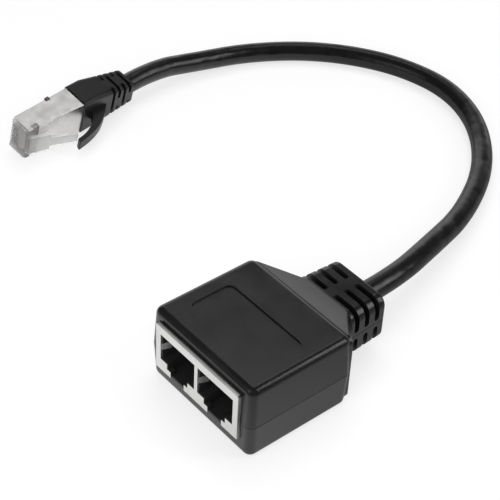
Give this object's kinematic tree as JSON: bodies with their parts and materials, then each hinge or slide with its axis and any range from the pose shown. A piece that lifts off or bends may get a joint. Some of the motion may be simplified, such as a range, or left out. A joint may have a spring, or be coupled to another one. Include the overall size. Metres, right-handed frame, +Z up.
{
  "type": "rj45 splitter adapter",
  "caption": "Network splitter: black moulded housing with side-by-side shielded sockets, a slotted strain relief and a short cable ending in a shielded plug.",
  "frame": {"origin": "under the middle of the housing, on the surface it stands on, half way between its face plate and its cable exit", "axes": "+Z up, the sockets open towards -Y, the cable leaves towards +Y, +X to the right seen from the sockets"},
  "size_m": [0.137, 0.1454, 0.0214],
  "materials": {
    "black_shell": "moulded black plastic with a fine satin texture",
    "tinned_steel": "tinned sheet steel, dull silver",
    "black_insulator": "moulded black insulator",
    "gold_contact": "gold-plated spring wire",
    "board_laminate": "green coated laminate",
    "solder": "bright tin",
    "cable_jacket": "black cable jacket with a soft gloss",
    "core_insulation": "coloured core insulation",
    "clear_plug": "clear moulded plastic",
    "plug_steel": "plated sheet steel with a fine grain",
    "soft_boot": "soft black moulded boot"
  },
  "bodies": {
    "root": {"upper_shell": "black_shell", "lower_shell": "black_shell", "jack_shield": "tinned_steel", "jack_rear_cover": "tinned_steel", "jack_insulator": "black_insulator", "contact_carrier_left": "black_insulator", "contact_carrier_right": "black_insulator", "port_contacts_left": "gold_contact", "port_contacts_right": "gold_contact", "circuit_board": "board_laminate", "solder_joints": "solder", "drain_wire": "solder", "crimp_ring": "tinned_steel", "cable_inside_housing": "cable_jacket", "plug_body": "clear_plug", "plug_shield": "plug_steel", "plug_contacts": "gold_contact", "plug_wires": "core_insulation", "plug_wire_guide": "black_insulator", "plug_boot": "soft_boot", "cable_inside_boot": "cable_jacket", "cable_jacket": "cable_jacket", "core_wire_1": "core_insulation", "core_wire_2": "core_insulation", "core_wire_3": "core_insulation", "core_wire_4": "core_insulation", "core_wire_5": "core_insulation", "core_wire_6": "core_insulation", "core_wire_7": "core_insulation", "core_wire_8": "core_insulation"}
  },
  "joints": []
}
